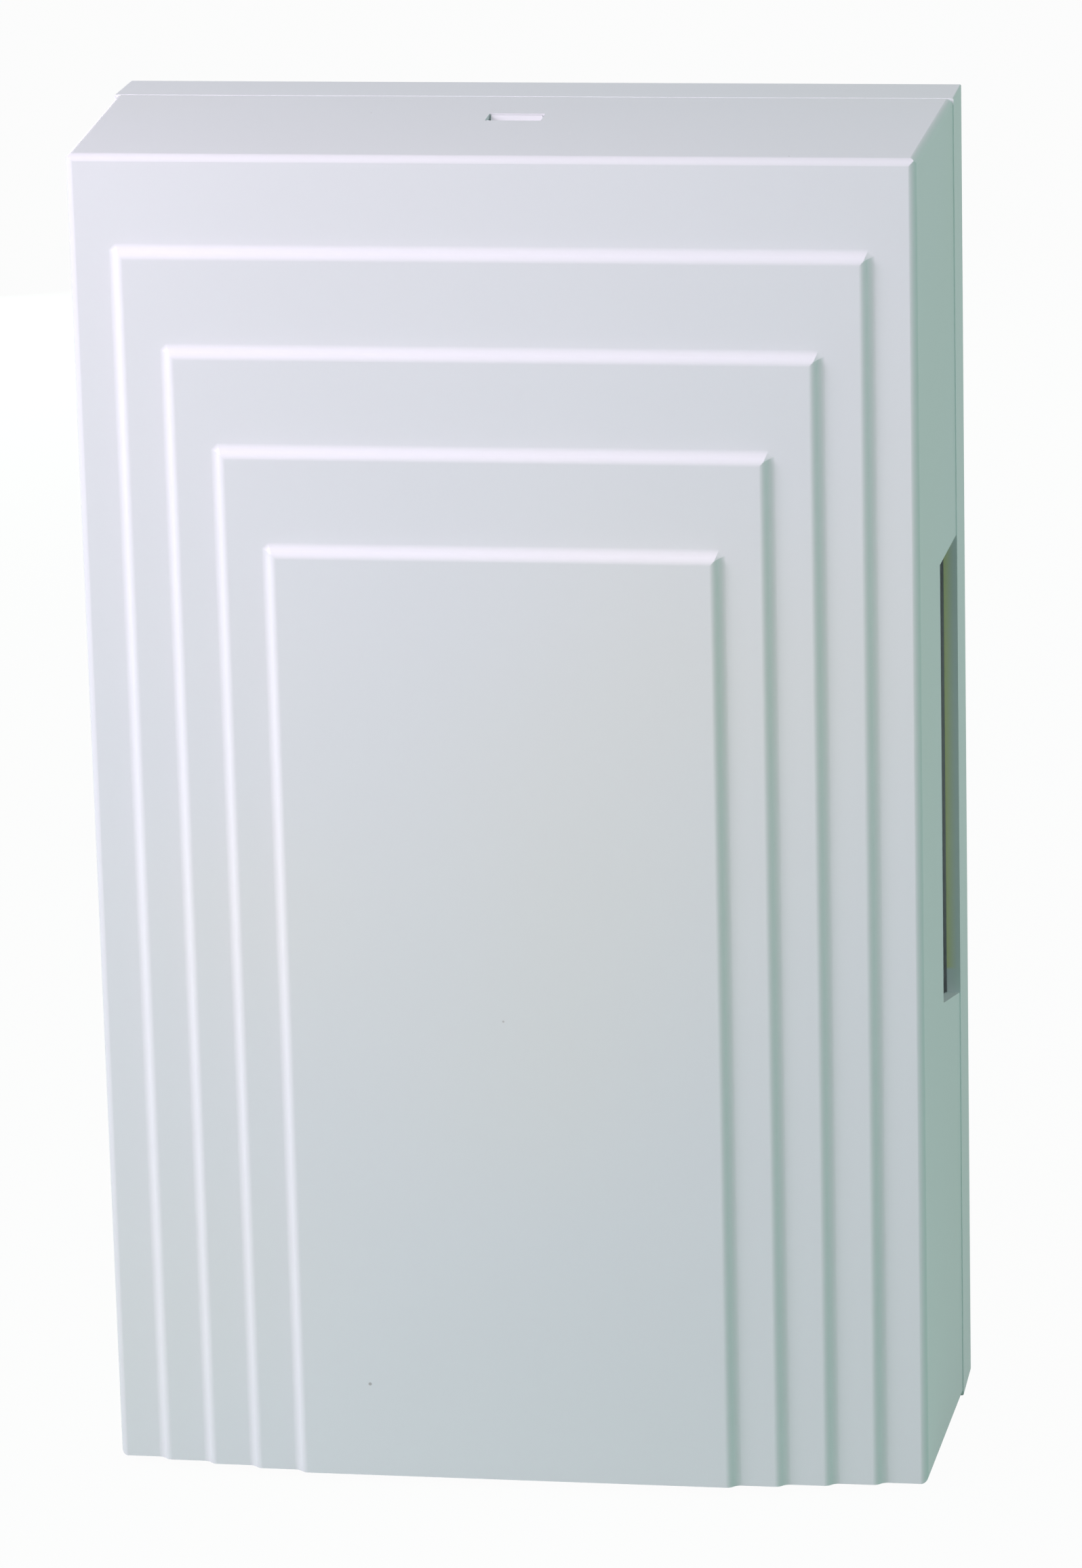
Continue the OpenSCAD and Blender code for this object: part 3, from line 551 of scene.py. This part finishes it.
def windCoil(name, height, form):
    half, wire = form["half"], form["wire"] / 2
    middle = form["outer"] - wire  # radius of the wire's middle
    run = 2 * half - form["wire"]
    turns = math.floor(run / form["wire"])
    bm = bmesh.new()
    start = Matrix.Translation((wire - half, 0, middle))
    bmesh.ops.create_circle(bm, segments=form["sides"], radius=wire, matrix=start @ quarterX)
    wireEnd = bpy.data.meshes.new("wireEnd")
    bm.to_mesh(wireEnd)
    bm.free()
    helix = bpy.data.objects.new("helix", wireEnd)
    scene.collection.objects.link(helix)
    screw = helix.modifiers.new("turns", "SCREW")
    screw.axis, screw.angle, screw.iterations = "X", fullTurn, turns
    screw.screw_offset = run / turns
    screw.steps = screw.render_steps = form["stepsPerTurn"]
    bm = bmesh.new()
    bm.from_object(helix, bpy.context.evaluated_depsgraph_get())
    bpy.data.objects.remove(helix)
    closeEnds(bm)
    # the lower layers, as one solid sleeve
    corners = [bm.verts.new((x, 0, r)) for x, r in
               ((-half, form["inner"]), (half, form["inner"]), (half, middle - wire), (-half, middle - wire))]
    loop = [bm.edges.new((corners[i], corners[i - 1])) for i in range(4)]
    bmesh.ops.spin(bm, geom=corners + loop, cent=(0, 0, 0), axis=(1, 0, 0), angle=fullTurn,
                   steps=form["coreSteps"], use_merge=True)
    bmesh.ops.translate(bm, verts=bm.verts, vec=(0, coilDepth, height))
    return asPiece(bm, name, "copper_wire")


for door, height in coilHeights.items():
    coil = windCoil(door + "_coil_turns", height, windingForm)
    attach(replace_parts(coil, door + "_winding"), "wall_base")
print("coils wound")

# Felt pad on the rear plunger's stop
feltForm = {
    "radius": 5.0 * mm,
    "back": -38.8 * mm,
    "face": -36.3 * mm,
    "sides": 64,
    "round": 0.7 * mm,
    "roundSteps": 5,
    "rings": 7,  # of smaller faces, for the fuzz
    "ringWidth": 0.55 * mm,
    "fuzz": 0.06 * mm,
    "fuzzScale": 1400,
    "glued": 0.3 * mm,  # at the back, where it stays flat
}


def outermostFace(bm):
    return max(bm.faces, key=lambda face: face.calc_center_median().x)


def cutFelt(name, height, form):
    bm = bmesh.new()
    thick = form["face"] - form["back"]
    radius = form["radius"] - form["fuzz"]
    middle = Matrix.Translation((form["back"] + thick / 2, coilDepth, height))
    bmesh.ops.create_cone(bm, cap_ends=True, segments=form["sides"], radius1=radius, radius2=radius,
                          depth=thick - 2 * form["fuzz"], matrix=middle @ quarterY)
    bmesh.ops.bevel(bm, geom=list(outermostFace(bm).edges), offset=form["round"], segments=form["roundSteps"],
                    profile=0.5, affect="EDGES", material=-1)
    for ring in range(form["rings"]):
        bmesh.ops.inset_region(bm, faces=[outermostFace(bm)], thickness=form["ringWidth"])
    bmesh.ops.poke(bm, faces=[outermostFace(bm)])
    for vert in bm.verts:
        if vert.co.x > form["back"] + form["glued"]:
            vert.co += vert.normal * form["fuzz"] * noise.noise(vert.co * form["fuzzScale"])
    return asPiece(bm, name, "felt")


felt = cutFelt("rear_felt_pad", coilHeights["rear"], feltForm)
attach(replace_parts(felt, "felt_stop"), "wall_base")
print("felt cut")

# Coil leads: from under a coil's end, by way of the points given, to the back of a terminal's lug.
# Places are in mm: x, distance from the wall, height.
leadForm = {
    "radius": 0.7,
    "startX": 15.5,
    "startHeights": {"front": 6.8, "rear": -29.2},
    "startDepths": (24, 18),
    "endHeight": -59.5,
    "endDepths": (5.5, 7.8, 10),
    "roundSteps": 4,
    "stretchSteps": 8,
    "weld": 0.01,
}
leadRoutes = {
    "front_lead": {
        "slot": "red_lead", "coil": "front", "side": -1, "lug": -17,
        "by": [(-16.5, 13, 4.5), (-19, 8.5, 2.5), (-23.5, 6, -2), (-25, 5.5, -10), (-25, 5.5, -25),
               (-25, 5.5, -40), (-23.5, 5.5, -51), (-19, 5, -58)],
    },
    "front_common_lead": {
        "slot": "white_lead", "coil": "front", "side": 1, "lug": 1.6,
        "by": [(16.5, 13, 4.5), (19, 8.5, 2.5), (23.5, 6, -2), (25, 5.5, -10), (25, 5.5, -25), (25, 5, -40),
               (23.5, 3.2, -50), (18, 2.9, -55.5), (10, 2.9, -58), (4, 3.2, -59.2)],
    },
    "rear_lead": {
        "slot": "blue_lead", "coil": "rear", "side": 1, "lug": 17,
        "by": [(16, 12.5, -32), (17, 8, -36), (18.5, 6.5, -43), (18.5, 6.5, -51), (17.5, 6, -57)],
    },
    "rear_common_lead": {
        "slot": "white_lead", "coil": "rear", "side": -1, "lug": -1.6,
        "by": [(-16, 12.5, -32), (-17, 8, -36), (-17, 5.5, -43), (-15, 4.5, -52), (-10, 4, -57.5),
               (-4.5, 4, -59.2)],
    },
}


def runLead(name, route, form):
    start = [(route["side"] * form["startX"], depth, form["startHeights"][route["coil"]])
             for depth in form["startDepths"]]
    end = [(route["lug"], depth, form["endHeight"]) for depth in form["endDepths"]]
    points = [Vector((x, -depth, z)) * mm for x, depth, z in start + route["by"] + end]
    curve = bpy.data.curves.new(name + "_line", "CURVE")
    curve.dimensions = "3D"
    curve.bevel_depth, curve.bevel_resolution = form["radius"] * mm, form["roundSteps"]
    curve.use_fill_caps = True
    curve.resolution_u = form["stretchSteps"]
    spline = curve.splines.new("BEZIER")
    spline.bezier_points.add(len(points) - 1)
    for i, knot in enumerate(spline.bezier_points):
        way = (points[min(i + 1, len(points) - 1)] - points[max(i - 1, 0)]) / 6
        knot.co = points[i]
        knot.handle_left_type = knot.handle_right_type = "FREE"
        knot.handle_left, knot.handle_right = points[i] - way, points[i] + way
    line = bpy.data.objects.new(name + "_line", curve)
    scene.collection.objects.link(line)
    mesh = bpy.data.meshes.new_from_object(line.evaluated_get(bpy.context.evaluated_depsgraph_get()))
    bpy.data.objects.remove(line)
    bm = bmesh.new()
    bm.from_mesh(mesh)
    bmesh.ops.remove_doubles(bm, verts=bm.verts, dist=form["weld"] * mm)
    return asPiece(bm, name + "_wire", route["slot"])


# Solder: a bead on each side of the lug, as a half of a flattened ball
solderForm = {
    "radius": 1.5 * mm,
    "beads": ((-10 * mm, 1.3 * mm), (-10.8 * mm, -0.8 * mm)),  # the lug's face, and the rise from it along y
    "sides": 28,
    "rings": 14,
}


def solderJoint(name, x, height, form, finish):
    bm = bmesh.new()
    radius = form["radius"]
    for face, rise in form["beads"]:
        bead = Matrix.Translation((x, face, height)) @ Matrix.Diagonal((radius, abs(rise), radius, 1))
        ball = bmesh.ops.create_uvsphere(bm, u_segments=form["sides"], v_segments=form["rings"], radius=1,
                                         matrix=bead @ quarterX)["verts"]
        geom = ball + list({e for v in ball for e in v.link_edges})
        geom += list({f for v in ball for f in v.link_faces})
        bmesh.ops.bisect_plane(bm, geom=geom, plane_co=(x, face, height),
                               plane_no=(0, -math.copysign(1, rise), 0), clear_outer=True)
    closeEnds(bm)
    return asPiece(bm, name, "zinc_steel", finish)


solder = softSolder("softSolder", solderLook)
for name, route in leadRoutes.items():
    wire = runLead(name, route, leadForm)
    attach(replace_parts(wire, name), "wall_base")
    joint = solderJoint(name.replace("lead", "solder"), route["lug"] * mm, leadForm["endHeight"] * mm,
                        solderForm, solder)
    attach(joint, "wall_base")
print("leads run:", len(leadRoutes))

# Studio: a green floor that shows as white, three soft lamps up on the left, a greenish fill on the right
# and one lamp behind; all but the fill lean to pink, against the floor's cast
lampSet = {
    "key": {"place": (-0.2, -0.55, 0.42), "size": 0.3, "power": 1.78, "colour": (1.0, 0.69, 0.87)},
    "leftNear": {"place": (-0.45, -0.3, 0.3), "size": 0.3, "power": 1.56, "colour": (0.98, 0.79, 1.0)},
    "leftSoft": {"place": (-0.6, -0.45, 0.35), "size": 0.4, "power": 1.85, "colour": (0.98, 0.94, 0.98)},
    "rightFill": {"place": (0.75, -0.2, 0.34), "size": 1.0, "power": 1.95, "colour": (0.8, 1.0, 0.96)},
    "backSoft": {"place": (-0.3, 0.75, 0.0), "size": 0.18, "power": 4.2, "colour": (1.0, 0.82, 0.89)},
}
# colour is what the floor throws back at the object, white the share of plain white that the camera sees
floorLook = {"height": -98.6 * mm, "reach": 6.0, "colour": (0.18, 0.38, 0.27, 1), "white": 0.97}
worldLight = {"strength": 0.25, "colour": (0.75, 1.0, 0.92)}


def hangLamps(lamps):
    for name, lamp in lamps.items():
        data = bpy.data.lights.new(name, "AREA")
        data.shape, data.size, data.energy, data.color = "DISK", lamp["size"], lamp["power"], lamp["colour"]
        light = bpy.data.objects.new(name, data)
        place = Vector(lamp["place"])
        aim = (-place).to_track_quat("-Z", "Y").to_matrix().to_4x4()
        light.matrix_world = Matrix.Translation(place) @ aim
        scene.collection.objects.link(light)


# rays that see the studio as plain white: the camera's, and those that a surface mirrors or lets through
def whiteRays(wire):
    path = wire.add("ShaderNodeLightPath", out="Is Camera Ray")
    seen = path.socket.node.outputs
    mirrored = path.sum("MAXIMUM", Wire(wire.tree, seen["Is Glossy Ray"]),
                        Wire(wire.tree, seen["Is Transmission Ray"]))
    return path.sum("MAXIMUM", path, mirrored)


def layFloor(look):
    bm = bmesh.new()
    bmesh.ops.create_grid(bm, x_segments=1, y_segments=1, size=look["reach"],
                          matrix=Matrix.Translation((0, 0, look["height"])))
    mesh = bpy.data.meshes.new("floor")
    bm.to_mesh(mesh)
    bm.free()
    material = bpy.data.materials.new("floor")
    material.use_nodes = True
    nodes = material.node_tree.nodes
    nodes.remove(nodes["Principled BSDF"])
    wire = Wire(material.node_tree)
    matt = wire.add("ShaderNodeBsdfDiffuse", None, {"Color": look["colour"]})
    glow = wire.add("ShaderNodeEmission", None, {"Strength": 1.0})
    mixed = wire.add("ShaderNodeMixShader", None, {0: whiteRays(wire) * look["white"], 1: matt, 2: glow})
    feed(nodes["Material Output"], {"Surface": mixed})
    mesh.materials.append(material)
    floor = bpy.data.objects.new("floor", mesh)
    scene.collection.objects.link(floor)


def lightWorld(look):
    world = bpy.data.worlds.new("studio")
    scene.world = world
    world.use_nodes = True
    seen = whiteRays(Wire(world.node_tree))
    dim = [c * look["strength"] for c in look["colour"]]
    feed(world.node_tree.nodes["Background"], {"Color": seen.tint(dim, (1, 1, 1))})


hangLamps(lampSet)
layFloor(floorLook)
lightWorld(worldLight)
scene.view_settings.view_transform = "Standard"
print("studio lit")
